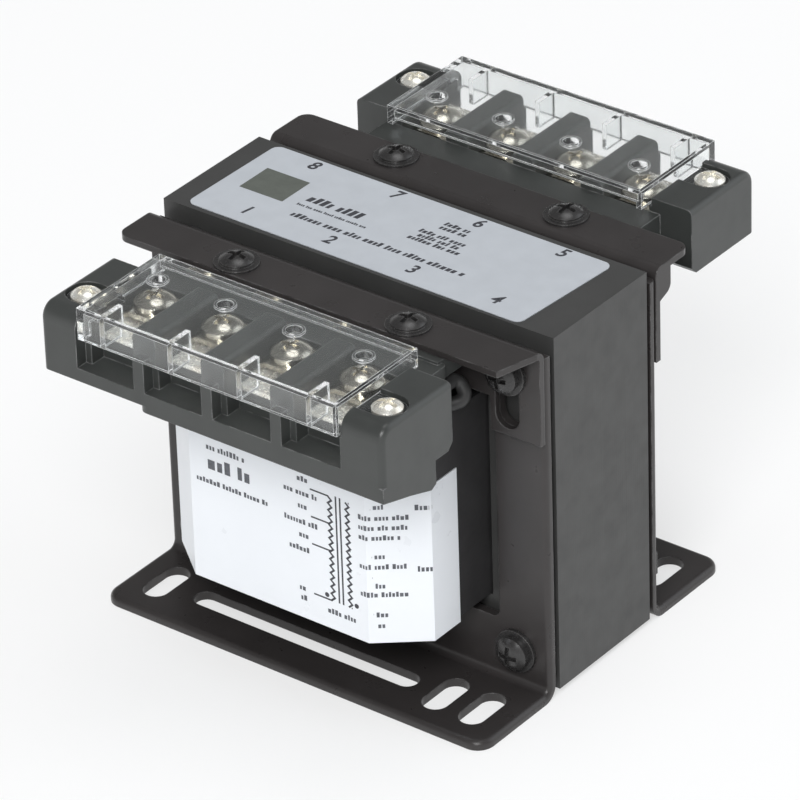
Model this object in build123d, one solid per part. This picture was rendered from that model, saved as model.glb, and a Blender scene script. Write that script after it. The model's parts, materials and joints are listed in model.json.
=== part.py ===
from build123d import *
import os

# Control transformer: an EI core on its side between two foot brackets, a bobbin-wound coil,
# and two four-way screw terminal blocks under clear covers.
# Millimetres. X runs along the terminal strips, Y through the core and Z up.
# The origin is at the bottom centre, and the front is the side at -Y.

# Core laminations
limb_width = 12.7
window_width = 12.7
tongue_width = 25.4
window_height = 38.1
yoke_height = 12.9
stack_depth = 24.26
packet_count = 4
core_bottom = 1.1
bolt_inset = 6.35
core_hole_radius = 2.2

# Foot brackets, folded sheet
bracket_sheet = 1.5
bracket_side_gap = 0.05
bracket_standoff = 1.02
bracket_top_drop = 2.6
foot_length = 17.85
foot_corner_radius = 3.0
foot_fold_radius = 1.2
edge_round = 0.9
coil_window_side = 3.4
coil_window_under = 1.8
coil_window_over = 1.3
coil_window_radius = 1.5

# Slots in the feet, given for the front foot
foot_slot_length = 9.6
foot_slot_width = 4.5
foot_slot_setback = 8.5
second_slot_step = 7.15
long_slot_width = 4.0
long_slot_setback = 8.3
long_slot_left_margin = 6.35
long_slot_right_margin = 5.4

# Terminal angles, folded sheet on the upper core bolts
angle_sheet = 1.1
angle_top_drop = 0.8
angle_leg = 16.8
flange_length = 8.15
angle_fold_radius = 0.6
angle_corner_radius = 2.0
angle_end_cut = 2.2
angle_slot_width = 4.5
angle_slot_drop = 10.05
gusset_length = 2.85
gusset_drop = 6.2
gusset_rise = 1.1
gusset_radius = 1.6

# Core bolts, washers, nuts and spacers
core_bolt_radius = 2.0
washer_radius = 3.7
washer_thickness = 0.7
spacer_radius = 3.4
bolt_head_radius = 2.9
bolt_head_height = 2.2
nut_across_flats = 7.0
nut_height = 3.0
bolt_end_length = 1.0
drive_length = 3.4
drive_width = 0.8
drive_depth = 0.9

# Bobbin and coil
bobbin_wall = 1.0
bobbin_core_clearance = 0.2
bobbin_window_clearance = 0.25
bobbin_flange = 1.1
coil_side_gap = 0.3
coil_build = 21.17
coil_flat_inset = 7.9
coil_corner_drop = 6.3
wrap_thickness = 0.5
secondary_build = 4.6
label_thickness = 0.2
coil_label_overhang = 0.85
coil_label_height = 28.3
coil_label_wrap = 12.8

# Leads from the coil to the terminal blocks
lead_radius = 1.1
lead_setback = 5.3
side_lead_side_inset = 2.1
side_lead_setback = 7.7
side_lead_bolt_gap = 3.55
side_lead_bulge_back = 3.6
side_lead_end_inset = 1.0
side_lead_heights = (1.3, 3.4, 6.4)
side_lead_bend = 1.4

# Terminal block, given for the front block. Drops are measured down from the ears' top.
terminal_pitch = 13.34
terminal_count = 4
terminal_shift = 0.5
block_setback = 15.55
block_depth = 17.2
block_height = 11.6
ear_rise = 0.9
ear_side = 3.9
ear_face_round = 2.6
ear_end_round = 1.0
block_back_chamfer = 1.2
well_rebate = 1.6
rebate_drop = 1.4
barrier_drop = 0.2
barrier_round = 0.9
recess_mouth_width = 11.25
recess_depth = 2.2
recess_floor_drop = 9.3
sill_wall_drop = 3.7
pocket_width = 8.9
shelf_setback = 5.0
shelf_drop = 5.3
lower_body_left = -14.5
lower_body_drop = 1.2
lower_body_slope = ((6.8, 14.7), (11.7, 16.3), (12.9, 15.7))
lower_body_round = 2.0
inner_body_half_width = 27.0
inner_body_gap = 0.4
inner_body_rise = 1.5
deck_drop = 2.5
ledge_bolt_gap = 2.05
ledge_gap = 0.8
ledge_thickness = 3.5
small_round = 0.8

# Terminals
terminal_setback = 12.5
plate_length = 12.0
plate_width = 8.3
plate_thickness = 0.8
plate_back_gap = 0.3
clamp_length = 7.4
clamp_width = 7.4
clamp_thickness = 0.9
clamp_rise = 0.7
clamp_flat_width = 4.2
clamp_hole_clearance = 0.25
terminal_screw_radius = 1.75
terminal_screw_length = 5.0
terminal_head_radius = 3.3
terminal_head_height = 2.2
thread_clearance = 0.08
screw_hole_spare = 0.8

# Clear covers
cover_side = 5.09
cover_side_gap = 0.3
cover_overhang = 0.6
cover_depth = 20.1
cover_rise = 2.1
cover_sheet = 1.0
cover_front_drop = 3.5
cover_back_drop = 0.1
cover_end_gap = 0.2
cover_skirt_gap = 0.2
rib_depth = 4.1
rib_thickness = 0.9
probe_hole_radius = 1.3
probe_ring_radius = 1.75
probe_ring_height = 0.3
probe_setback = 13.5
lug_drop = 0.8
lug_thickness = 1.2
lug_radius = 3.1
lug_clearance = 0.15

# Small screws
end_screw_step = 4.1
end_screw_setback = 6.6
end_screw_radius = 1.6
end_screw_length = 6.5
end_head_radius = 2.5
end_head_height = 1.5
flange_screw_x = 16.75
flange_screw_inset = 3.5
flange_screw_radius = 1.7
flange_screw_length = 4.2
flange_washer_radius = 3.7
flange_head_radius = 2.8
flange_head_height = 1.6
screw_tip_spare = 0.3

# Label on top of the core, each corner drawn in from the core's own corner
top_label_thickness = 0.15
top_label_insets = ((3.9, 0.93), (6.9, 0.53), (5.3, 1.23), (4.3, 0.83))
top_label_radius = 1.5

# Sizes that follow: core and brackets
core_width = 2 * (limb_width + window_width) + tongue_width
core_height = window_height + 2 * yoke_height
core_top = core_bottom + core_height
half_stack = stack_depth / 2
window_bottom = core_bottom + yoke_height
window_top = window_bottom + window_height
core_bolt_x = core_width / 2 - bolt_inset
core_bolt_low = core_bottom + bolt_inset
core_bolt_high = core_top - bolt_inset
plate_inner = half_stack + bracket_standoff
plate_outer = plate_inner + bracket_sheet
bracket_half_width = core_width / 2 - bracket_side_gap
bracket_height = core_top - bracket_top_drop
foot_reach = plate_outer + foot_length
foot_slot_y = foot_reach - foot_slot_setback
second_slot_x = core_bolt_x - second_slot_step
long_slot_y = foot_reach - long_slot_setback
long_slot_left = -core_bolt_x + long_slot_left_margin
long_slot_right = second_slot_x - long_slot_right_margin

# Sizes that follow: coil
coil_half_x = tongue_width / 2 + window_width - coil_side_gap
coil_half_y = half_stack + coil_build
coil_bottom = window_bottom + bobbin_window_clearance
coil_top = window_top - bobbin_window_clearance
coil_label_bottom = coil_bottom - coil_label_overhang
coil_label_top = coil_label_bottom + coil_label_height
coil_window_half_width = coil_half_x + coil_window_side
coil_window_bottom = window_bottom - coil_window_under
coil_window_top = window_top + coil_window_over

# Sizes that follow: terminal angles
angle_outer = plate_outer + angle_sheet
angle_top = core_top - angle_top_drop
angle_bottom = angle_top - angle_leg
angle_reach = angle_outer + flange_length
angle_slot_top = core_bolt_high + angle_slot_width / 2
angle_slot_bottom = core_bolt_high - angle_slot_drop
flange_screw_y = angle_reach - flange_screw_inset

# Sizes that follow: terminal block
ear_top = angle_top + ear_rise
block_bottom = ear_top - block_height
block_back = angle_outer + block_setback
block_face = block_back + block_depth
barrier_top = ear_top - barrier_drop
rebate_top = ear_top - rebate_drop
sill_wall_top = ear_top - sill_wall_drop
recess_floor = ear_top - recess_floor_drop
recess_back = block_face - recess_depth
shelf_front = block_face - shelf_setback
shelf_top = ear_top - shelf_drop
inner_body_reach = angle_reach + inner_body_gap
inner_body_bottom = block_bottom + inner_body_rise
deck_top = ear_top - deck_drop
ledge_half_width = core_bolt_x - washer_radius - ledge_bolt_gap
ledge_top = angle_top - angle_sheet
ledge_bottom = ledge_top - ledge_thickness

# Sizes that follow: terminals, covers and their screws
first_terminal = -(terminal_count - 1) / 2 * terminal_pitch
probe_x = [first_terminal + i * terminal_pitch for i in range(terminal_count)]
terminal_x = [x - terminal_shift for x in probe_x]
terminal_y = block_face - terminal_setback
shelf_plate_top = shelf_top + plate_thickness
clamp_underside = shelf_plate_top + clamp_rise
clamp_top = clamp_underside + clamp_thickness
cover_half_width = -first_terminal + cover_side
well_half_width = cover_half_width + cover_side_gap
cover_front = block_face + cover_overhang
cover_back = cover_front - cover_depth
cover_top = ear_top + cover_rise
cover_underside = cover_top - cover_sheet
cover_front_bottom = ear_top - cover_front_drop
cover_back_bottom = ear_top - cover_back_drop
probe_y = cover_front - probe_setback
lug_top = ear_top - lug_drop
lug_bottom = lug_top - lug_thickness
end_screw_x = cover_half_width + end_screw_step
end_screw_y = block_face - end_screw_setback
block_half_width = end_screw_x + ear_side
lead_y = -coil_half_y + lead_setback
past = 1.0


def cuboid(x_low, x_high, y_low, y_high, z_low, z_high):
    """A box between two corners."""
    corner = Pos(x_low, y_low, z_low)
    return corner * Box(x_high - x_low, y_high - y_low, z_high - z_low, align=(Align.MIN,) * 3)


def across(profile, y_low, y_high):
    """Extrudes a profile drawn in X and Z between two Y values."""
    return extrude(Plane.XZ.offset(-y_high) * profile, y_high - y_low)


def along(profile, x_low, x_high):
    """Extrudes a profile drawn in Y and Z between two X values."""
    return extrude(Plane.YZ.offset(x_low) * profile, x_high - x_low)


def upright(profile, z_low, z_high):
    """Extrudes a profile drawn in X and Y between two heights."""
    return extrude(Pos(0, 0, z_low) * profile, z_high - z_low)


def rod(radius, x, z, y_low, y_high):
    """A round bar along Y."""
    return across(Pos(x, z) * Circle(radius), y_low, y_high)


def post(radius, x, y, z_low, z_high):
    """A round bar along Z."""
    return upright(Pos(x, y) * Circle(radius), z_low, z_high)


def turned(shape):
    """The rear twin of a front piece."""
    return Rot(0, 0, 180) * shape


def lamination_packet(kind, index):
    """One packet of E or I laminations. Every other packet stands upside down."""
    outline = Pos(0, core_height / 2) * Rectangle(core_width, core_height)
    bar = Pos(0, core_height - yoke_height / 2) * Rectangle(core_width, yoke_height)
    if kind == "i":
        profile = bar
    else:
        profile = outline - bar
        window_middle = tongue_width / 2 + window_width / 2
        for side in (-1, 1):
            place = Pos(side * window_middle, yoke_height + window_height / 2)
            profile -= place * Rectangle(window_width, window_height)
    for x in (-core_bolt_x, core_bolt_x):
        for z in (bolt_inset, core_height - bolt_inset):
            profile -= Pos(x, z) * Circle(core_hole_radius)
    if index % 2:
        profile = Pos(0, core_height) * mirror(profile, Plane.XZ)
    profile = Pos(0, core_bottom) * profile
    packet_depth = stack_depth / packet_count
    y_low = index * packet_depth - half_stack
    return across(profile, y_low, y_low + packet_depth)


def laminations(kind):
    return Compound([lamination_packet(kind, index) for index in range(packet_count)])


def folded_angle(sheet, radius, inner_y, reach, z_end, z_fold):
    """A sheet folded at z_fold: one leg stands at inner_y towards z_end, one runs out to reach."""
    sign = 1 if z_end > z_fold else -1
    leg = Pos(-inner_y - sheet / 2, (z_fold + z_end) / 2) * Rectangle(sheet, abs(z_end - z_fold))
    flange_middle = Pos(-(inner_y + reach) / 2, z_fold + sign * sheet / 2)
    flange = flange_middle * Rectangle(reach - inner_y, sheet)
    profile = leg + flange
    outer_corner = Vector(-inner_y, z_fold)
    inner_corner = Vector(-inner_y - sheet, z_fold + sign * sheet)
    profile = fillet(profile.vertices().sort_by_distance(outer_corner)[0], radius + sheet)
    profile = fillet(profile.vertices().sort_by_distance(inner_corner)[0], radius)
    return along(profile, -bracket_half_width, bracket_half_width)


def foot_bracket():
    """Front foot bracket: slotted foot, and an upright plate with a window for the coil."""
    part = folded_angle(bracket_sheet, foot_fold_radius, plate_inner, foot_reach, bracket_height, 0)
    long_edges = part.edges().filter_by(Axis.Z).group_by(Axis.Y)
    part = fillet(long_edges[0], foot_corner_radius)
    plate_edges = part.edges().filter_by(Axis.Z).filter_by_position(
        Axis.Y, -plate_outer - edge_round, -plate_outer + edge_round / 2)
    part = fillet(plate_edges, edge_round)
    window_centre = (coil_window_bottom + coil_window_top) / 2
    window = Pos(0, window_centre) * RectangleRounded(
        2 * coil_window_half_width, coil_window_top - coil_window_bottom, coil_window_radius)
    part -= across(window, -plate_outer - past, -plate_inner + past)
    part -= upper_bolt_slots()
    for x in (-core_bolt_x, core_bolt_x):
        part -= rod(core_hole_radius, x, core_bolt_low, -plate_outer - past, -plate_inner + past)
    for x in (-core_bolt_x, second_slot_x, core_bolt_x):
        slot = Pos(x, -foot_slot_y) * SlotOverall(foot_slot_length, foot_slot_width, rotation=90)
        part -= upright(slot, -past, bracket_sheet + past)
    long_slot_middle = Pos((long_slot_left + long_slot_right) / 2, -long_slot_y)
    long_slot = long_slot_middle * SlotOverall(long_slot_right - long_slot_left, long_slot_width)
    part -= upright(long_slot, -past, bracket_sheet + past)
    return part


def upper_bolt_slots():
    """Upright slots through the foot bracket and the terminal angle at the upper bolts."""
    height = angle_slot_top - angle_slot_bottom
    slots = []
    for x in (-core_bolt_x, core_bolt_x):
        place = Pos(x, (angle_slot_top + angle_slot_bottom) / 2)
        slot = place * SlotOverall(height, angle_slot_width, rotation=90)
        slots.append(across(slot, -angle_outer - past, -plate_inner + past))
    return slots


def terminal_angle():
    """Front terminal angle: flange under the block's screws, and two legs on the upper bolts."""
    part = folded_angle(angle_sheet, angle_fold_radius, plate_outer, angle_reach, angle_bottom, angle_top)
    corners = part.edges().filter_by(Axis.Z).group_by(Axis.Y)[0]
    part = fillet(corners, angle_corner_radius)
    opening = cuboid(-coil_window_half_width, coil_window_half_width,
                     -angle_outer - past, -plate_outer + past, angle_bottom - past, coil_window_top)
    part -= opening
    part -= upper_bolt_slots()
    for x in (-flange_screw_x, flange_screw_x):
        part -= post(flange_screw_radius + thread_clearance, x, -flange_screw_y,
                     angle_top - angle_sheet - past, angle_top + past)
    return part


def front_terminal_angle():
    """The front angle's right end is cut on a slant."""
    half = bracket_half_width
    start = -angle_outer - angle_fold_radius
    cut = make_face(Polyline((half + past, start), (half, start),
                             (half - angle_end_cut, -angle_reach - past), (half + past, -angle_reach - past),
                             close=True))
    flange_low = angle_top - angle_sheet - past
    return terminal_angle() - upright(cut, flange_low, angle_top + past)


def rear_terminal_angle():
    """The rear angle's right end carries a small folded gusset under its flange."""
    flange_bottom = angle_top - angle_sheet
    gusset_bottom = angle_top - gusset_drop
    gusset_edge = angle_outer + gusset_length
    corner = (gusset_edge, gusset_bottom + gusset_rise)
    outline = make_face(Polyline((angle_outer, flange_bottom), (gusset_edge, flange_bottom), corner,
                                 (angle_outer, gusset_bottom), close=True))
    outline = fillet(outline.vertices().sort_by_distance(Vector(*corner))[0], gusset_radius)
    gusset = along(outline, bracket_half_width - angle_sheet, bracket_half_width)
    return turned(terminal_angle()) + gusset


def stack_face(z):
    """How far out the clamped sheets reach at a core bolt."""
    return angle_outer if z == core_bolt_high else plate_outer


def bolt_places():
    return [(x, z) for x in (-core_bolt_x, core_bolt_x) for z in (core_bolt_low, core_bolt_high)]


def cross_drive(depth):
    """A cross recess that opens at z = 0."""
    arm = cuboid(-drive_length / 2, drive_length / 2, -drive_width / 2, drive_width / 2, -depth, past)
    return arm + Rot(0, 0, 90) * arm


def screw(shank_radius, shank_length, head_radius, head_height, rim_height):
    """A binding-head screw: the head stands on z = 0, and the shank hangs below it."""
    half_profile = make_face([
        Polyline((0, head_height), (0, -shank_length), (shank_radius, -shank_length),
                 (shank_radius, 0), (head_radius, 0), (head_radius, rim_height)),
        ThreePointArc((head_radius, rim_height),
                      (head_radius * 0.72, rim_height + (head_height - rim_height) * 0.55),
                      (0, head_height)),
    ])
    body = revolve(Plane.XZ * half_profile, Axis.Z)
    return body - Pos(0, 0, head_height) * cross_drive(drive_depth)


def core_bolts():
    bolts = []
    for x, z in bolt_places():
        seat = stack_face(z) + washer_thickness
        length = 2 * seat + nut_height + bolt_end_length
        bolt = screw(core_bolt_radius, length, bolt_head_radius, bolt_head_height, bolt_head_height / 2)
        bolts.append(Pos(x, -seat, z) * Rot(90, 0, 0) * bolt)
    return Compound(bolts)


def core_nuts():
    nuts = []
    for x, z in bolt_places():
        seat = stack_face(z) + washer_thickness
        hexagon = RegularPolygon(nut_across_flats / 2, 6, major_radius=False, rotation=30)
        profile = Pos(x, z) * (hexagon - Circle(core_bolt_radius))
        nuts.append(across(profile, seat, seat + nut_height))
    return Compound(nuts)


def core_washers():
    washers = []
    for x, z in bolt_places():
        face = stack_face(z)
        ring = Pos(x, z) * (Circle(washer_radius) - Circle(core_bolt_radius))
        washers.append(across(ring, -face - washer_thickness, -face))
        washers.append(across(ring, face, face + washer_thickness))
    return Compound(washers)


def core_spacers():
    spacers = []
    for x, z in bolt_places():
        ring = Pos(x, z) * (Circle(spacer_radius) - Circle(core_hole_radius))
        spacers.append(across(ring, -plate_inner, -half_stack))
        spacers.append(across(ring, half_stack, plate_inner))
    return Compound(spacers)


def coil_outline(inset):
    """The coil seen from above: a rectangle with cut corners, drawn in by inset."""
    half_x = coil_half_x - inset
    half_y = coil_half_y - inset
    flat = coil_half_x - coil_flat_inset - inset / 2
    drop = coil_corner_drop - inset / 2
    corner = [(flat, half_y), (half_x, half_y - drop)]
    points = corner + [(x, -y) for x, y in reversed(corner)]
    points += [(-x, -y) for x, y in corner] + [(-x, y) for x, y in reversed(corner)]
    return make_face(Polyline(*points, close=True))


def bobbin_tube(wall):
    clearance = 2 * (bobbin_core_clearance + wall)
    return Rectangle(tongue_width + clearance, stack_depth + clearance)


def bobbin():
    tube = upright(bobbin_tube(bobbin_wall), coil_bottom, coil_top)
    flange = coil_outline(wrap_thickness)
    part = tube + upright(flange, coil_bottom, coil_bottom + bobbin_flange)
    part += upright(flange, coil_top - bobbin_flange, coil_top)
    return part - upright(bobbin_tube(0), coil_bottom - past, coil_top + past)


def winding(outer, inner):
    return upright(outer - inner, coil_bottom + bobbin_flange, coil_top - bobbin_flange)


def coil_label():
    """A sheet round the front of the coil."""
    ring = coil_outline(-label_thickness) - coil_outline(0)
    band = upright(ring, coil_label_bottom, coil_label_top)
    size = 2 * coil_half_y
    front = cuboid(-size, size, -size, -coil_half_y + coil_label_wrap, 0, coil_label_top + past)
    return band & front


def leads():
    """Sleeved leads from the top of the coil to the underside of the front block."""
    straight = [post(lead_radius, x, lead_y, coil_top, inner_body_bottom) for x in probe_x[:-1]]
    low, middle, high = [coil_top + height for height in side_lead_heights]
    start_x = coil_half_x - side_lead_side_inset
    start_y = -coil_half_y + side_lead_setback
    bulge_x = core_bolt_x - side_lead_bolt_gap
    bulge_y = -inner_body_reach + side_lead_bulge_back
    end_x = inner_body_half_width - side_lead_end_inset
    points = [
        (start_x, start_y, coil_top),
        (start_x, start_y, low),
        (bulge_x, bulge_y, middle),
        (end_x, bulge_y, high),
        (end_x, -inner_body_reach, high),
    ]
    path = FilletPolyline(*points, radius=side_lead_bend)
    profile = Plane(origin=path @ 0, z_dir=path % 0) * Circle(lead_radius)
    return Compound(straight + [sweep(profile, path=path)])


def end_screw_place(side):
    return Pos(side * end_screw_x, -end_screw_y)


def lug_outline(side, growth):
    """A lug round an end screw, joined to the cover's end wall."""
    radius = lug_radius + growth
    inner = cover_half_width - cover_sheet
    arm = end_screw_x - inner
    middle = Pos(side * (inner + arm / 2), -end_screw_y)
    return middle * Rectangle(arm, 2 * radius) + end_screw_place(side) * Circle(radius)


def block_bar():
    """The outer bar with its two ears, rounded where the hand meets it."""
    bar = cuboid(-block_half_width, block_half_width, -block_face, -block_back, block_bottom, ear_top)
    front_top = bar.edges().filter_by(Axis.X).group_by(Axis.Z)[-1].sort_by(Axis.Y)[0]
    bar = fillet(front_top, ear_face_round)
    top_ends = bar.faces().sort_by(Axis.Z)[-1].edges().filter_by(Axis.Y)
    bar = fillet(top_ends, ear_end_round)
    back_bottom = bar.edges().filter_by(Axis.X).group_by(Axis.Z)[0].sort_by(Axis.Y)[-1]
    return chamfer(back_bottom, block_back_chamfer)


def lower_body():
    """The wedge under the outer bar, which carries the leads' ends."""
    points = [(-block_face, recess_floor - past), (-block_face, block_bottom - lower_body_drop)]
    points += [(setback - block_face, ear_top - drop) for setback, drop in lower_body_slope]
    points.append((lower_body_slope[-1][0] - block_face, recess_floor - past))
    wedge = along(make_face(Polyline(*points, close=True)), lower_body_left, block_half_width)
    corner = wedge.edges().filter_by(Axis.Z).sort_by(Axis.Y).group_by(Axis.Y)[0].sort_by(Axis.X)[0]
    return fillet(corner, lower_body_round)


def inner_body():
    """The part of the block between the outer bar and the flange, with the ledge it is screwed by."""
    body = cuboid(-inner_body_half_width, inner_body_half_width, -block_back - past, -inner_body_reach,
                  inner_body_bottom, deck_top)
    corners = body.edges().filter_by(Axis.Z).group_by(Axis.Y)[-1]
    body = fillet(corners, small_round)
    ledge = cuboid(-ledge_half_width, ledge_half_width, -inner_body_reach - past, -angle_outer - ledge_gap,
                   ledge_bottom, ledge_top)
    return body + ledge


def terminal_recess(x):
    """Everything that is open round one terminal."""
    mouth = cuboid(x - recess_mouth_width / 2, x + recess_mouth_width / 2,
                   -block_face - past, -recess_back, recess_floor, ear_top + past)
    channel = cuboid(x - pocket_width / 2, x + pocket_width / 2,
                     -recess_back, -shelf_front, recess_floor, ear_top + past)
    pocket = cuboid(x - pocket_width / 2, x + pocket_width / 2,
                    -shelf_front, -block_back, shelf_top, ear_top + past)
    hole_bottom = clamp_top - terminal_screw_length - screw_hole_spare
    hole = post(terminal_screw_radius + thread_clearance, x, -terminal_y, hole_bottom, shelf_top + past)
    return [mouth, channel, pocket, hole]


def cover_seat():
    """The room for the cover between the ears and for its lugs in the ears."""
    well = cuboid(-well_half_width, well_half_width, -block_face - past, -block_back + past,
                  barrier_top, ear_top + past)
    skirt_room = cuboid(-well_half_width, well_half_width, -block_face - past,
                        -recess_back, sill_wall_top, ear_top + past)
    cuts = [well, skirt_room]
    for side in (-1, 1):
        x_low, x_high = sorted((side * well_half_width, side * (well_half_width - well_rebate)))
        cuts.append(cuboid(x_low, x_high, -block_face - past, -block_back + past,
                           rebate_top, ear_top + past))
        cuts.append(upright(lug_outline(side, lug_clearance), lug_bottom, ear_top + past))
        cuts.append(post(end_screw_radius, side * end_screw_x, -end_screw_y,
                         lug_top - end_screw_length - screw_tip_spare, ear_top + past))
    return cuts


def barrier_edges(part):
    """The long top edges of the barriers between the terminals."""
    reach = (terminal_count - 1) / 2 * terminal_pitch
    edges = part.edges().filter_by(Axis.Y).filter_by_position(Axis.Z, barrier_top - past / 10, barrier_top + past / 10)
    return edges.filter_by_position(Axis.X, -reach, reach)


def terminal_block():
    """Front terminal block, one moulding."""
    part = block_bar() + lower_body() + inner_body()
    for x in terminal_x:
        part -= terminal_recess(x)
    part -= cover_seat()
    part = fillet(barrier_edges(part), barrier_round)
    for x in (-flange_screw_x, flange_screw_x):
        part -= post(flange_screw_radius, x, -flange_screw_y,
                     angle_top - flange_screw_length - angle_sheet - screw_tip_spare, angle_top + past)
    return part


def terminal_plates():
    """The four contact plates that lie on the shelves of the front block."""
    plates = []
    for x in terminal_x:
        y_high = -block_back - plate_back_gap
        plate = cuboid(x - plate_width / 2, x + plate_width / 2, y_high - plate_length, y_high,
                       shelf_top, shelf_plate_top)
        hole = post(terminal_screw_radius + thread_clearance, x, -terminal_y,
                    shelf_top - past, shelf_plate_top + past)
        plates.append(plate - hole)
    return Compound(plates)


def saddle_clamp(x):
    """A square washer with its two sides bent down onto the plate."""
    half = clamp_width / 2
    flat = clamp_flat_width / 2
    top = [(-half, -clamp_rise), (-flat, 0), (flat, 0), (half, -clamp_rise)]
    raised = [(px, pz + clamp_thickness) for px, pz in reversed(top)]
    profile = make_face(Polyline(*top, *raised, close=True))
    strip = across(profile, -clamp_length / 2, clamp_length / 2)
    strip -= post(terminal_screw_radius + clamp_hole_clearance, 0, 0, -past, clamp_thickness + past)
    return Pos(x, -terminal_y, clamp_underside) * strip


def terminal_screw(x):
    rim = terminal_head_height / 2
    body = screw(terminal_screw_radius, terminal_screw_length, terminal_head_radius,
                 terminal_head_height, rim)
    return Pos(x, -terminal_y, clamp_top) * body


def clear_cover():
    """Front clear cover, one moulding with ribs, probe holes and two lugs."""
    outer = cuboid(-cover_half_width, cover_half_width, -cover_front, -cover_back,
                   cover_front_bottom, cover_top)
    inner_half = cover_half_width - cover_sheet
    room = cuboid(-inner_half, inner_half, -cover_front + cover_sheet, -cover_back - cover_sheet,
                  cover_front_bottom - past, cover_underside)
    part = outer - room
    skirt_back = -recess_back - cover_skirt_gap
    end_bottom = rebate_top + cover_end_gap
    part -= cuboid(-cover_half_width - past, cover_half_width + past, skirt_back, -cover_back + past,
                   cover_front_bottom - past, end_bottom)
    part -= cuboid(-inner_half, inner_half, -cover_back - cover_sheet - past, -cover_back + past,
                   cover_front_bottom - past, cover_back_bottom)
    rib_back = -cover_front + cover_sheet + rib_depth
    for x in terminal_x:
        part += cuboid(x - rib_thickness / 2, x + rib_thickness / 2, -cover_front + cover_sheet,
                       rib_back, cover_front_bottom, cover_underside)
    for x in probe_x:
        part += post(probe_ring_radius, x, -probe_y, cover_underside, cover_top + probe_ring_height)
        part -= post(probe_hole_radius, x, -probe_y, cover_underside - past, cover_top + past)
    for side in (-1, 1):
        part += upright(lug_outline(side, 0), lug_bottom, lug_top)
        part -= post(end_screw_radius + thread_clearance, side * end_screw_x, -end_screw_y,
                     lug_bottom - past, lug_top + past)
    return part


def cover_screws():
    """The two screws that hold the front cover."""
    body = screw(end_screw_radius, end_screw_length, end_head_radius, end_head_height,
                 end_head_height / 3)
    return [Pos(side * end_screw_x, -end_screw_y, lug_top) * body for side in (-1, 1)]


def flange_screws():
    """The two screws that hold the front block under its flange."""
    shank = flange_screw_length + angle_sheet
    body = screw(flange_screw_radius, shank, flange_head_radius, flange_head_height,
                 flange_head_height / 2)
    rim_height = flange_head_height / 4
    body += upright(Circle(flange_washer_radius), 0, rim_height)
    return [Pos(side * flange_screw_x, -flange_screw_y, angle_top) * body for side in (-1, 1)]


def top_label():
    signs = ((-1, -1), (1, -1), (1, 1), (-1, 1))
    corners = [(sx * (core_width / 2 - dx), sy * (half_stack - dy))
               for (sx, sy), (dx, dy) in zip(signs, top_label_insets)]
    outline = make_face(Polyline(*corners, close=True))
    outline = fillet(outline.vertices(), top_label_radius)
    return upright(outline, core_top, core_top + top_label_thickness)


def both_ends(solids):
    """Front pieces and their rear twins in one group."""
    return Compound(list(solids) + [turned(solid) for solid in solids])


def pieces():
    """Every piece by its name."""
    front_block = terminal_block()
    front_bracket = foot_bracket()
    front_cover = clear_cover()
    front_leads = leads()
    front_plates = terminal_plates()
    tube = bobbin_tube(bobbin_wall)
    primary_outline = coil_outline(wrap_thickness + secondary_build)
    named = {
        "e_laminations": laminations("e"),
        "i_laminations": laminations("i"),
        "front_foot_bracket": front_bracket,
        "rear_foot_bracket": turned(front_bracket),
        "front_terminal_angle": front_terminal_angle(),
        "rear_terminal_angle": rear_terminal_angle(),
        "core_bolts": core_bolts(),
        "core_nuts": core_nuts(),
        "core_washers": core_washers(),
        "core_spacers": core_spacers(),
        "bobbin": bobbin(),
        "primary_winding": winding(primary_outline, tube),
        "secondary_winding": winding(coil_outline(wrap_thickness), primary_outline),
        "coil_wrap": upright(coil_outline(0) - coil_outline(wrap_thickness), coil_bottom, coil_top),
        "coil_label": coil_label(),
        "front_leads": front_leads,
        "rear_leads": turned(front_leads),
        "front_terminal_block": front_block,
        "rear_terminal_block": turned(front_block),
        "front_terminal_plates": front_plates,
        "rear_terminal_plates": turned(front_plates),
        "front_clear_cover": front_cover,
        "rear_clear_cover": turned(front_cover),
        "cover_screws": both_ends(cover_screws()),
        "flange_screws": both_ends(flange_screws()),
        "top_label": top_label(),
    }
    for number, x in enumerate(terminal_x, start=1):
        named[f"terminal_clamp_{number}"] = saddle_clamp(x)
        named[f"terminal_screw_{number}"] = terminal_screw(x)
        named[f"terminal_clamp_{number + terminal_count}"] = turned(saddle_clamp(x))
        named[f"terminal_screw_{number + terminal_count}"] = turned(terminal_screw(x))
    return named


def main():
    os.makedirs("parts", exist_ok=True)
    for name, shape in pieces().items():
        export_step(shape, f"parts/{name}.step")


main()
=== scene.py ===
"""The looks of the control transformer: camera, light, materials, print and fine detail."""
import json
import math
import random

import bmesh
import bpy
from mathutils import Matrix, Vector


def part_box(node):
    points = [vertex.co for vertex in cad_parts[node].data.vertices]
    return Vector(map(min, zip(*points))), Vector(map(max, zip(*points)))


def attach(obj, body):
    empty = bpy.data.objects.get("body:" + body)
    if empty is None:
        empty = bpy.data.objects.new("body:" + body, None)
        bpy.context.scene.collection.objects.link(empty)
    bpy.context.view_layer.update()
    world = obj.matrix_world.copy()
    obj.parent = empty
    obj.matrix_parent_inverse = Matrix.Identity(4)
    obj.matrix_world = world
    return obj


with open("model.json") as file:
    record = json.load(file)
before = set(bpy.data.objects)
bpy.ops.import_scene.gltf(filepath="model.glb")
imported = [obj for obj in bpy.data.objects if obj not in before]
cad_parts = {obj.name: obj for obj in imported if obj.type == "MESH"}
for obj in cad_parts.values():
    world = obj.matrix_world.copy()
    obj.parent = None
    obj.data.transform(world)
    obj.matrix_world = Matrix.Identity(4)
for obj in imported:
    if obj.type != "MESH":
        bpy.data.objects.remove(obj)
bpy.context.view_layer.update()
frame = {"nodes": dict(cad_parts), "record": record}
MM = 0.001

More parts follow.
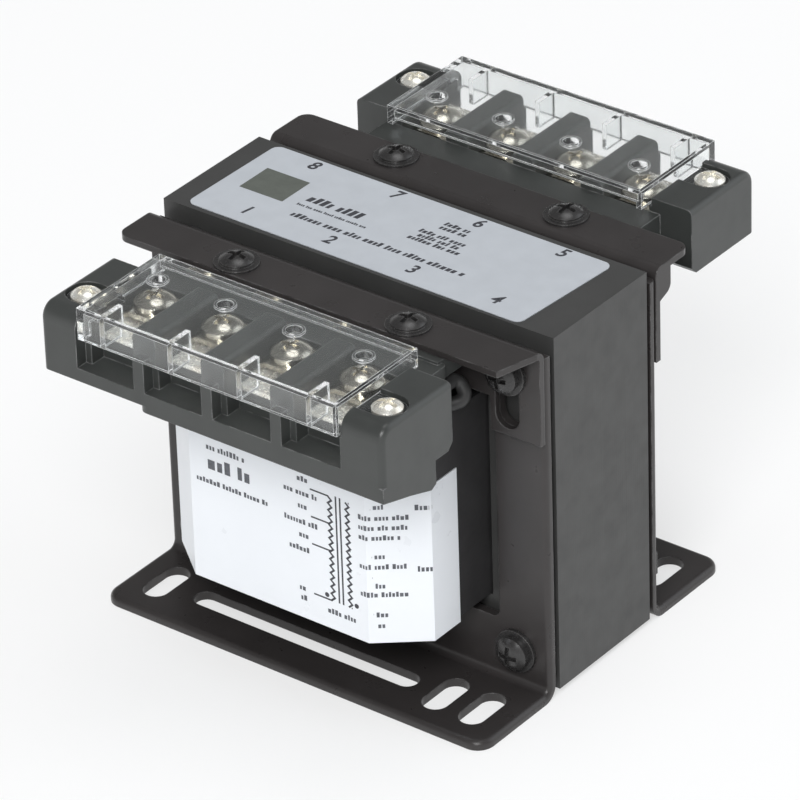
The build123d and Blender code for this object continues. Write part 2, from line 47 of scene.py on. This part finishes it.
# Camera, fitted to the photograph, in degrees and millimetres
view_azimuth = 38.347
view_elevation = 31.319
view_roll = -1.916
view_distance = 999.879
view_target = (0.0, 0.0, 33.0)
view_offset = (1.243, -1.544)
view_lens = 283.849
view_sensor = 36

# Lamps, in metres and watts: name, place, size, power and colour
lamp_target = (0, 0, 0.03)
lamps = (
    ("key", (0.68, -1.28, 1.3), 0.9, 23.5, (1, 1, 1)),
    ("side", (0.95, 1.15, 0.95), 1.7, 8, (0.92, 0.96, 1.0)),
    ("top", (-0.1, 0.3, 1.7), 0.9, 5, (1, 1, 1)),
)

# The white room round the part. Its ceiling looks dimmer, between two heights of the line of sight
ambient_level = 0.42
ambient_colour = (0.96, 0.98, 1.0)
ceiling_level = 0.2
ceiling_start = 0.12
ceiling_full = 0.4

# The floor, in metres. Its glow is for the eye alone and lights nothing
floor_half = 3.0
floor_drop = 0.00003
floor_colour = (0.94, 0.94, 0.94)
floor_glow = 0.56

# Surfaces, in millimetres and shares
edge_samples = 4
edge_full = 0.86
edge_none = 0.99
lamination_pitch = 0.505
light_through_cover = 0.88

# The labels that carry print, in millimetres
label_top = round(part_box("top_label")[1].z / MM, 3)
coil_face = -round(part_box("coil_label")[0].y / MM, 3)
coil_side = round(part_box("coil_label")[1].x / MM, 3)
coil_flat = 17.3
coil_corner = 27.1

# Print, in millimetres
print_lift = 0.004
print_thickness = 0.02
print_slant = 0.2
numeral_size = 3.4
numeral_weight = 0.022
numeral_columns = (-24.8, -8.3, 7.9, 24.1)
numeral_front = -7.9
numeral_rear = 9.3

# Blocks in place of letters, as shares of the height of their row
block_widths = (0.34, 0.62)
block_heights = (0.74, 0.74, 1.0)
block_gap = 0.21
word_gap = 0.45
word_blocks = (3, 7)

# Drawing of the two windings on the coil's label, in millimetres
drawing_low = 18.7
drawing_high = 37.9
winding_places = (10.5, 13.9)
winding_reach = 0.35
winding_teeth = 30
winding_line = 0.34
core_lines = (11.7, 12.5)
core_line_half = 0.15
core_line_rise = 0.4
tap_half = 0.14
left_taps = (6.7, 10.3, (drawing_high, 32.9, 27.9, drawing_low))
right_taps = (14.1, 18.2, (drawing_high, 29.2, 25.4, drawing_low))
dot_places = (9.3, 15.1)
dot_lift = 0.75
dot_radius = 0.42

# Threads on the ends of the core bolts, in millimetres
bolt_x = 31.75
bolt_heights = (7.45, 58.65)
bolt_radius = 2.0
thread_pitch = 0.7
thread_height = 0.14
thread_sink = 0.05
thread_setback = 0.12
thread_turns = 1.2
thread_sides = 24
thread_fade = 4


def vector(*values):
    return Vector(values) * MM


def add_camera():
    azimuth, elevation, roll = [math.radians(v) for v in (view_azimuth, view_elevation, view_roll)]
    back = Vector((math.sin(azimuth) * math.cos(elevation), -math.cos(azimuth) * math.cos(elevation),
                   math.sin(elevation)))
    level = Vector((0, 0, 1)).cross(back).normalized()
    upward = back.cross(level)
    right = level * math.cos(roll) + upward * math.sin(roll)
    up = upward * math.cos(roll) - level * math.sin(roll)
    place = Vector(view_target) + back * view_distance - right * view_offset[0] - up * view_offset[1]
    data = bpy.data.cameras.new("camera")
    data.lens = view_lens
    data.sensor_width = view_sensor
    data.clip_start = 0.05
    data.clip_end = 20
    camera = bpy.data.objects.new("camera", data)
    bpy.context.scene.collection.objects.link(camera)
    for column, axis in enumerate((right, up, back)):
        for row in range(3):
            camera.matrix_world[row][column] = axis[row]
    camera.matrix_world.translation = place * MM
    bpy.context.scene.camera = camera


def add_lamp(name, place, size, power, colour):
    data = bpy.data.lights.new(name, "AREA")
    data.shape = "DISK"
    data.size = size
    data.energy = power
    data.color = colour
    lamp = bpy.data.objects.new(name, data)
    lamp.location = place
    lamp.rotation_euler = (Vector(lamp_target) - Vector(place)).to_track_quat("-Z", "Y").to_euler()
    bpy.context.scene.collection.objects.link(lamp)


def seen_directly(tree):
    """One for rays that look at the background, straight, mirrored or through clear plastic."""
    path = tree.nodes.new("ShaderNodeLightPath")
    total = path.outputs["Is Camera Ray"]
    for output in ("Is Glossy Ray", "Is Transmission Ray"):
        add = tree.nodes.new("ShaderNodeMath")
        add.operation = "ADD"
        add.use_clamp = True
        tree.links.new(total, add.inputs[0])
        tree.links.new(path.outputs[output], add.inputs[1])
        total = add.outputs[0]
    return total


def show_mixed(tree, output, share, first, second):
    """Sends a mix of two shaders to an output node."""
    mix = tree.nodes.new("ShaderNodeMixShader")
    for source, socket in zip((share, first.outputs[0], second.outputs[0]), mix.inputs):
        tree.links.new(source, socket)
    tree.links.new(mix.outputs[0], tree.nodes[output].inputs["Surface"])


def add_world():
    """A white room with a dimmer ceiling."""
    world = bpy.data.worlds.new("studio")
    bpy.context.scene.world = world
    world.use_nodes = True
    tree = world.node_tree
    ambient = tree.nodes["Background"]
    ambient.inputs["Color"].default_value = (*ambient_colour, 1)
    ambient.inputs["Strength"].default_value = ambient_level
    white = tree.nodes.new("ShaderNodeBackground")
    direction = tree.nodes.new("ShaderNodeTexCoord")
    parts = tree.nodes.new("ShaderNodeSeparateXYZ")
    tree.links.new(direction.outputs["Generated"], parts.inputs[0])
    ceiling = spread(tree, parts.outputs["Z"], 1, ceiling_level, ceiling_start, ceiling_full)
    tree.links.new(ceiling, white.inputs["Strength"])
    show_mixed(tree, "World Output", seen_directly(tree), ambient, white)


def new_material(name):
    material = bpy.data.materials.new(name)
    material.use_nodes = True
    return material, material.node_tree, material.node_tree.nodes["Principled BSDF"]


def add_floor():
    mesh = bpy.data.meshes.new("floor")
    corners = rectangle(-floor_half, -floor_half, floor_half, floor_half)
    mesh.from_pydata([(x, y, -floor_drop) for x, y in corners], [], [(0, 1, 2, 3)])
    floor = bpy.data.objects.new("floor", mesh)
    bpy.context.scene.collection.objects.link(floor)
    material, tree, surface = new_material("floor")
    surface.inputs["Base Color"].default_value = (*floor_colour, 1)
    surface.inputs["Roughness"].default_value = 0.9
    surface.inputs["Specular IOR Level"].default_value = 0.1
    glow = tree.nodes.new("ShaderNodeEmission")
    glow.inputs["Color"].default_value = (1, 1, 1, 1)
    show_mixed(tree, "Material Output", product(tree, seen_directly(tree), floor_glow), surface, glow)
    mesh.materials.append(material)


def place_on(tree, stretch=(1, 1, 1)):
    """The surface's own coordinates, drawn out along an axis by a small stretch."""
    coordinates = tree.nodes.new("ShaderNodeTexCoord")
    mapping = tree.nodes.new("ShaderNodeMapping")
    mapping.inputs["Scale"].default_value = stretch
    tree.links.new(coordinates.outputs["Object"], mapping.inputs["Vector"])
    return mapping.outputs["Vector"]


def noise(tree, size, detail=3.0, stretch=(1, 1, 1)):
    texture = tree.nodes.new("ShaderNodeTexNoise")
    texture.inputs["Scale"].default_value = 1 / (size * MM)
    texture.inputs["Detail"].default_value = detail
    tree.links.new(place_on(tree, stretch), texture.inputs["Vector"])
    return texture.outputs["Fac"]


def bands(tree, pitch, axis, distortion=0.0):
    """Even bands across an axis, one to each pitch."""
    texture = tree.nodes.new("ShaderNodeTexWave")
    texture.bands_direction = axis
    texture.inputs["Scale"].default_value = 2 * math.pi / (20 * pitch * MM)
    texture.inputs["Distortion"].default_value = distortion
    tree.links.new(place_on(tree), texture.inputs["Vector"])
    return texture.outputs["Fac"]


def spread(tree, value, low, high, start=0.3, stop=0.7):
    """Turns a value between start and stop into one between low and high."""
    node = tree.nodes.new("ShaderNodeMapRange")
    node.inputs["From Min"].default_value = start
    node.inputs["From Max"].default_value = stop
    node.inputs["To Min"].default_value = low
    node.inputs["To Max"].default_value = high
    tree.links.new(value, node.inputs["Value"])
    return node.outputs["Result"]


def product(tree, value, factor):
    """A value times a number or another value."""
    node = tree.nodes.new("ShaderNodeMath")
    node.operation = "MULTIPLY"
    tree.links.new(value, node.inputs[0])
    if isinstance(factor, float):
        node.inputs[1].default_value = factor
    else:
        tree.links.new(factor, node.inputs[1])
    return node.outputs[0]


def blended(tree, factor, first, second):
    """A colour between two, each a colour or a node's output."""
    node = tree.nodes.new("ShaderNodeMix")
    node.data_type = "RGBA"
    tree.links.new(factor, node.inputs["Factor"])
    sockets = [s for s in node.inputs if s.type == "RGBA"]
    for socket, colour in zip(sockets, (first, second)):
        if isinstance(colour, tuple):
            socket.default_value = (*colour, 1)
        else:
            tree.links.new(colour, socket)
    return [s for s in node.outputs if s.type == "RGBA"][0]


def rounded_edge(tree, radius):
    node = tree.nodes.new("ShaderNodeBevel")
    node.samples = edge_samples
    node.inputs["Radius"].default_value = radius * MM
    return node.outputs["Normal"]


def edge_share(tree, rounded):
    """One on an edge and nothing on the faces."""
    geometry = tree.nodes.new("ShaderNodeNewGeometry")
    node = tree.nodes.new("ShaderNodeVectorMath")
    node.operation = "DOT_PRODUCT"
    tree.links.new(rounded, node.inputs[0])
    tree.links.new(geometry.outputs["Normal"], node.inputs[1])
    return spread(tree, node.outputs["Value"], 1, 0, edge_full, edge_none)


def relief(tree, height, depth, normal):
    node = tree.nodes.new("ShaderNodeBump")
    node.inputs["Strength"].default_value = 1
    node.inputs["Distance"].default_value = depth * MM
    tree.links.new(height, node.inputs["Height"])
    tree.links.new(normal, node.inputs["Normal"])
    return node.outputs["Normal"]


def scaled(colour, factor):
    return tuple(min(1.0, channel * factor) for channel in colour)


def new_finish(name, colour, roughness, metallic=0.0, specular=0.5, mottle=0.12, mottle_size=6.0,
               grain=0.25, grain_depth=0.004, edge=0.2, edge_wear_and_highlight=0.0, edge_wear_and_highlight_colour=(0.3, 0.3, 0.3)):
    """A material with mottled colour and gloss, fine grain, softened edges, and lighter edges that are
    partly scuffed finish and partly a painted highlight where lamps glint along them.
    """
    material, tree, surface = new_material(name)
    surface.inputs["Metallic"].default_value = metallic
    surface.inputs["Specular IOR Level"].default_value = specular
    shade = spread(tree, noise(tree, mottle_size, 4), 0, 1)
    tint = blended(tree, shade, scaled(colour, 1 - mottle), scaled(colour, 1 + mottle))
    rounded = rounded_edge(tree, edge)
    # Lighter edges, in patches: scuffs of the finish, and also a painted highlight along edges that catch
    # the lamps.
    if edge_wear_and_highlight:
        patches = spread(tree, noise(tree, 2.5, 5), 0, edge_wear_and_highlight, 0.4, 0.62)
        scuffed_and_lit_edges = product(tree, edge_share(tree, rounded), patches)
        tint = blended(tree, scuffed_and_lit_edges, tint, edge_wear_and_highlight_colour)
    tree.links.new(tint, surface.inputs["Base Color"])
    gloss = spread(tree, noise(tree, mottle_size / 3, 5), roughness * 0.85, roughness * 1.15)
    tree.links.new(gloss, surface.inputs["Roughness"])
    normal = relief(tree, noise(tree, grain, 2), grain_depth, rounded)
    tree.links.new(normal, surface.inputs["Normal"])
    return material


def add_relief(material, height, depth):
    """Lays one more relief over those that a material has."""
    tree = material.node_tree
    normal = tree.nodes["Principled BSDF"].inputs["Normal"]
    tree.links.new(relief(tree, height, depth, normal.links[0].from_socket), normal)


def core_finish():
    """Black paint over the edges of the laminations, which show as faint upright lines."""
    material = new_finish("core_paint", (0.048, 0.048, 0.047), 0.46, mottle=0.08, mottle_size=9, edge=0.02)
    tree = material.node_tree
    add_relief(material, bands(tree, lamination_pitch, "Y", 0.4), 0.002)
    add_relief(material, noise(tree, 0.9, 2, (0.03, 1, 0.03)), 0.008)
    return material


def wound_finish(name, colour, roughness, pitch, axis, depth, **more):
    """A finish with the even turns of wire or tape."""
    material = new_finish(name, colour, roughness, **more)
    add_relief(material, bands(material.node_tree, pitch, axis, 0.3), depth)
    return material


def plated_finish(name, colour, roughness, metallic):
    """Nickel with fine marks and a film that is thicker in places."""
    return new_finish(name, colour, roughness, metallic=metallic, mottle=0.16, mottle_size=1.6, grain=0.12,
                      grain_depth=0.003, edge=0.15, edge_wear_and_highlight=0.6, edge_wear_and_highlight_colour=(0.93, 0.92, 0.88))


def clear_finish():
    """Clear moulded plastic that lets light through. Its edges are made whiter than its faces: a painted
    highlight for the glint of light in the cut edges.
    """
    material, tree, surface = new_material("clear_plastic")
    surface.inputs["IOR"].default_value = 1.5
    tint = blended(tree, spread(tree, noise(tree, 9, 3), 0, 1), (0.96, 0.98, 0.98), (0.99, 1.0, 1.0))
    tree.links.new(tint, surface.inputs["Base Color"])
    rounded = rounded_edge(tree, 0.18)
    # Painted highlight: the edges let less light through and show the white base colour, in place of the
    # light that glints in the cut edges.
    clear = spread(tree, edge_share(tree, rounded), 0.985, 0.2, 0, 1)
    tree.links.new(clear, surface.inputs["Transmission Weight"])
    gloss = spread(tree, noise(tree, 3, 4), 0.03, 0.09)
    tree.links.new(gloss, surface.inputs["Roughness"])
    normal = relief(tree, noise(tree, 7, 2), 0.03, rounded)
    tree.links.new(normal, surface.inputs["Normal"])
    path = tree.nodes.new("ShaderNodeLightPath")
    through = tree.nodes.new("ShaderNodeBsdfTransparent")
    share = product(tree, path.outputs["Is Shadow Ray"], light_through_cover)
    show_mixed(tree, "Material Output", share, surface, through)
    return material


def finishes():
    """One material for each of the record's slots."""
    return {
        "core_paint": core_finish(),
        "bracket_paint": new_finish("bracket_paint", (0.035, 0.0315, 0.031), 0.31, specular=0.45, edge_wear_and_highlight=0.4,
                                    mottle_size=11, grain=0.5, grain_depth=0.0025, edge=0.3),
        "black_screw": new_finish("black_screw", (0.027, 0.026, 0.026), 0.27, specular=0.6, mottle_size=2,
                                  edge_wear_and_highlight=0.35, edge_wear_and_highlight_colour=(0.3, 0.29, 0.28), edge=0.2),
        "insulation": new_finish("insulation", (0.028, 0.028, 0.028), 0.6, mottle_size=2),
        "nylon": new_finish("nylon", (0.034, 0.034, 0.034), 0.5, mottle_size=4),
        "magnet_wire": wound_finish("magnet_wire", (0.55, 0.24, 0.1), 0.3, 0.6, "Z", 0.15, metallic=0.6),
        "coil_tape": wound_finish("coil_tape", (0.036, 0.035, 0.036), 0.36, 12.0, "Z", 0.1, mottle_size=5,
                                  grain=1.2, grain_depth=0.02),
        "white_label": new_finish("white_label", (0.86, 0.885, 0.92), 0.32, mottle=0.012, mottle_size=12,
                                  grain=0.3, grain_depth=0.002, edge=0.1),
        "sleeving": wound_finish("sleeving", (0.03, 0.03, 0.03), 0.42, 0.3, "Z", 0.006, mottle_size=1.5),
        # The lighter edges of the block are mostly a painted highlight: the thin bright lines where the
        # lamps glint along the ears' top edges.
        "block_plastic": new_finish("block_plastic", (0.045, 0.048, 0.046), 0.34, mottle=0.08, grain=0.2,
                                    grain_depth=0.005, edge=0.25, edge_wear_and_highlight=0.7, edge_wear_and_highlight_colour=(0.36, 0.36, 0.36)),
        "plated_steel": plated_finish("plated_steel", (1.0, 0.94, 0.82), 0.26, 0.65),
        "clear_plastic": clear_finish(),
        "silver_label": new_finish("silver_label", (0.49, 0.515, 0.55), 0.34, mottle=0.03, mottle_size=3,
                                   grain=0.25, grain_depth=0.002, edge=0.1),
    }


def rectangle(left, low, right, high):
    return [(left, low), (right, low), (right, high), (left, high)]


def disc(x, y, radius, sides=20):
    turn = 2 * math.pi / sides
    return [(x + radius * math.cos(i * turn), y + radius * math.sin(i * turn)) for i in range(sides)]


def stroke(points, width):
    """A line of even width, one polygon for each of its runs, that share their corners."""
    steps = [Vector(after) - Vector(before) for before, after in zip(points, points[1:])]
    sides = [Vector((-step.y, step.x)).normalized() for step in steps]
    left = []
    right = []
    for i, point in enumerate(points):
        before = sides[max(i - 1, 0)]
        after = sides[min(i, len(sides) - 1)]
        middle = (before + after).normalized()
        reach = middle * (width / 2 / middle.dot(after))
        left.append(tuple(Vector(point) + reach))
        right.append(tuple(Vector(point) - reach))
    return [[right[i], right[i + 1], left[i + 1], left[i]] for i in range(len(steps))]


def words(left, right, middle, height, seed, slant=0.0):
    """A row of small plain blocks, in groups, in place of a row of words."""
    chance = random.Random(seed)
    faces = []
    x = left
    low = middle - height / 2
    group = chance.randint(*word_blocks)
    while x < right:
        width = chance.uniform(*block_widths) * height
        tall = height * chance.choice(block_heights)
        shift = slant * tall
        faces.append([(x, low), (x + width, low), (x + width + shift, low + tall), (x + shift, low + tall)])
        x += width + block_gap * height
        group -= 1
        if group == 0:
            x += word_gap * height
            group = chance.randint(*word_blocks)
    return faces


def number(value, x, y):
    """The faces of a plain numeral, centred on a point."""
    curve = bpy.data.curves.new("numeral", "FONT")
    curve.body = str(value)
    curve.size = numeral_size
    curve.shear = print_slant
    curve.offset = numeral_weight * numeral_size
    curve.resolution_u = 4
    curve.align_x = "CENTER"
    curve.align_y = "CENTER"
    shape = bpy.data.objects.new("numeral", curve)
    mesh = bpy.data.meshes.new_from_object(shape)
    faces = [[(mesh.vertices[i].co.x + x, mesh.vertices[i].co.y + y) for i in face.vertices]
             for face in mesh.polygons]
    bpy.data.meshes.remove(mesh)
    bpy.data.objects.remove(shape)
    bpy.data.curves.remove(curve)
    return faces


def split_at(faces, fold):
    """Cuts rectangles where the label is folded, so that print follows the fold."""
    cut = []
    for face in faces:
        low = min(x for x, _ in face)
        high = max(x for x, _ in face)
        if low < fold < high:
            bottom = min(y for _, y in face)
            top = max(y for _, y in face)
            cut += [rectangle(low, bottom, fold, top), rectangle(fold, bottom, high, top)]
        else:
            cut.append(face)
    return cut


def on_top(x, y):
    return (x, y, label_top + print_lift)


def on_coil(along, height):
    """A point of the coil's label: along it from the middle of its front, and above the floor."""
    run = Vector((coil_side - coil_flat, coil_face - coil_corner))
    fold = coil_flat + run.length
    run.normalize()
    distance = abs(along)
    side = math.copysign(1, along)
    if distance <= coil_flat:
        return (along, -coil_face - print_lift, height)
    if distance <= fold:
        step = distance - coil_flat
        return (side * (coil_flat + run.x * step + run.y * print_lift),
                -coil_face + run.y * step - run.x * print_lift, height)
    return (side * (coil_side + print_lift), -coil_corner + distance - fold, height)


def add_piece(name, shape, material):
    mesh = bpy.data.meshes.new(name)
    shape.to_mesh(mesh)
    shape.free()
    mesh.materials.append(material)
    piece = bpy.data.objects.new(name, mesh)
    bpy.context.scene.collection.objects.link(piece)
    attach(piece, "transformer")
    return piece


def add_print(name, faces, place, material):
    """Print as thin closed patches of ink that lie on a label."""
    shape = bmesh.new()
    for face in faces:
        shape.faces.new([shape.verts.new(vector(*place(*point))) for point in face])
    bmesh.ops.remove_doubles(shape, verts=shape.verts, dist=0.001 * MM)
    piece = add_piece(name, shape, material)
    ink = piece.modifiers.new("ink", "SOLIDIFY")
    ink.thickness = print_thickness * MM
    ink.offset = 1


def top_numbers():
    """Plain numbers beside the terminals that they belong to."""
    faces = []
    for i, x in enumerate(numeral_columns):
        faces += number(i + 1, x, numeral_front)
        faces += number(2 * len(numeral_columns) - i, x, numeral_rear)
    return faces


def top_rows():
    """Blocks where the label has rows of small print."""
    faces = words(-19.0, -8.6, 0.7, 1.9, 3, print_slant)
    faces += words(-19.4, -6.0, -1.7, 0.6, 4)
    faces += words(-18.2, 15.4, -4.7, 1.25, 5, print_slant)
    rows = ((3.6, 8.2, 6.4), (3.6, 8.2, 5.1), (1.5, 10.2, 2.6), (2.2, 9.4, 1.3), (1.2, 10.6, 0.0))
    for seed, (left, right, middle) in enumerate(rows, 20):
        faces += words(left, right, middle, 1.05, seed, print_slant)
    return faces


def zigzag(middle, low, high, reach, teeth):
    step = (high - low) / teeth
    return [(middle + reach * (1 if i % 2 else -1), low + i * step) for i in range(teeth + 1)]


def coil_drawing():
    """A plain drawing of two windings with their leads beside the core's two lines."""
    faces = []
    for x in winding_places:
        turns = zigzag(x, drawing_low, drawing_high, winding_reach, winding_teeth)
        faces += stroke(turns, winding_line)
    core_top = drawing_high + core_line_rise
    for x in core_lines:
        faces.append(rectangle(x - core_line_half, drawing_low, x + core_line_half, core_top))
    for left, right, heights in (left_taps, right_taps):
        for height in heights:
            faces.append(rectangle(left, height - tap_half, right, height + tap_half))
    for x in dot_places:
        faces.append(disc(x, drawing_low + dot_lift, dot_radius))
    return faces


def coil_rows():
    """Blocks where the coil's label has rows of small print, left and right of the drawing."""
    faces = words(-13.8, -6.2, 38.5, 1.0, 31)
    faces += words(-13.6, -5.0, 35.6, 2.3, 32)
    faces += words(-16.0, -2.0, 32.1, 0.9, 33)
    left_rows = ((4.2, 6.0, 39.2), (1.5, 8.0, 36.6), (4.2, 6.0, 34.2), (1.4, 8.0, 31.3), (4.2, 6.0, 28.9),
                 (2.2, 6.5, 26.3), (3.9, 5.2, 19.0), (4.1, 4.9, 17.2), (9.4, 14.4, 16.7))
    right_rows = ((18.6, 20.0, 38.3), (16.0, 24.0, 36.3), (16.0, 24.2, 34.5), (16.0, 22.4, 32.7),
                  (18.6, 20.0, 29.3), (16.0, 23.6, 27.4), (18.6, 20.0, 23.9), (16.0, 23.3, 22.3),
                  (18.6, 20.0, 18.6), (18.8, 19.6, 16.6))
    for rows, height in ((left_rows, 0.95), (right_rows, 0.9)):
        for left, right, middle in rows:
            faces += words(left, right, middle, height, int(middle * 10))
    faces += words(25.0, 27.4, 38.0, 1.0, 51)
    faces += words(25.2, 27.4, 26.8, 1.0, 52)
    return split_at(faces, coil_flat)


def add_labels_print():
    ink = new_finish("dark_ink", (0.045, 0.046, 0.055), 0.5, mottle=0.25, mottle_size=1.2, edge=0.02)
    grey = new_finish("grey_ink", (0.10, 0.105, 0.12), 0.5, mottle=0.3, mottle_size=0.8, edge=0.02)
    field = new_finish("field_ink", (0.105, 0.115, 0.10), 0.42, mottle=0.08, mottle_size=2, edge=0.02)
    add_print("top_label_numbers", top_numbers(), on_top, ink)
    add_print("top_label_rows", top_rows(), on_top, ink)
    add_print("top_label_field", [rectangle(-30.4, -2.6, -21.8, 4.6)], on_top, field)
    add_print("coil_label_drawing", coil_drawing(), on_coil, ink)
    add_print("coil_label_rows", coil_rows(), on_coil, grey)


def add_threads(material):
    """A ridge round the end of each core bolt, where it stands out of its nut."""
    steps = int(thread_sides * thread_turns)
    shape = bmesh.new()
    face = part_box("core_bolts")[1].y / MM
    root = bolt_radius - thread_sink
    profile = ((0, 0), (thread_pitch / 4, thread_sink + thread_height), (thread_pitch / 2, 0))
    for x in (-bolt_x, bolt_x):
        for height in bolt_heights:
            rings = []
            for i in range(steps + 1):
                angle = 2 * math.pi * i / thread_sides
                fade = min(1, i / thread_fade, (steps - i) / thread_fade)
                start = face - thread_setback - thread_pitch * i / thread_sides
                ring = []
                for back, rise in profile:
                    out = root + rise * fade
                    place = vector(x + out * math.cos(angle), start - back, height + out * math.sin(angle))
                    ring.append(shape.verts.new(place))
                rings.append(ring)
            for before, after in zip(rings, rings[1:]):
                for i in range(3):
                    j = (i + 1) % 3
                    shape.faces.new((before[i], before[j], after[j], after[i]))
    bmesh.ops.recalc_face_normals(shape, faces=shape.faces)
    add_piece("core_bolt_threads", shape, material)


def dress_nodes(looks):
    # The terminals under the clear cover get a darker copy of the nickel with a sharper gloss: the darker
    # colour is painted shade for the light that the cover keeps from them.
    shaded_nickel = plated_finish("nickel_with_painted_shade", (0.62, 0.59, 0.52), 0.2, 1.0)
    for part in frame["record"]["subparts"]:
        mesh = frame["nodes"][part["node"]].data
        mesh.materials.clear()
        if part["node"].startswith(("terminal_screw", "terminal_clamp")):
            mesh.materials.append(shaded_nickel)
        else:
            mesh.materials.append(looks[part["material_slot"]])


add_camera()
add_world()
add_floor()
for lamp in lamps:
    add_lamp(*lamp)
looks = finishes()
dress_nodes(looks)
add_threads(looks["black_screw"])
add_labels_print()

scene = bpy.context.scene
scene.view_settings.view_transform = "Standard"
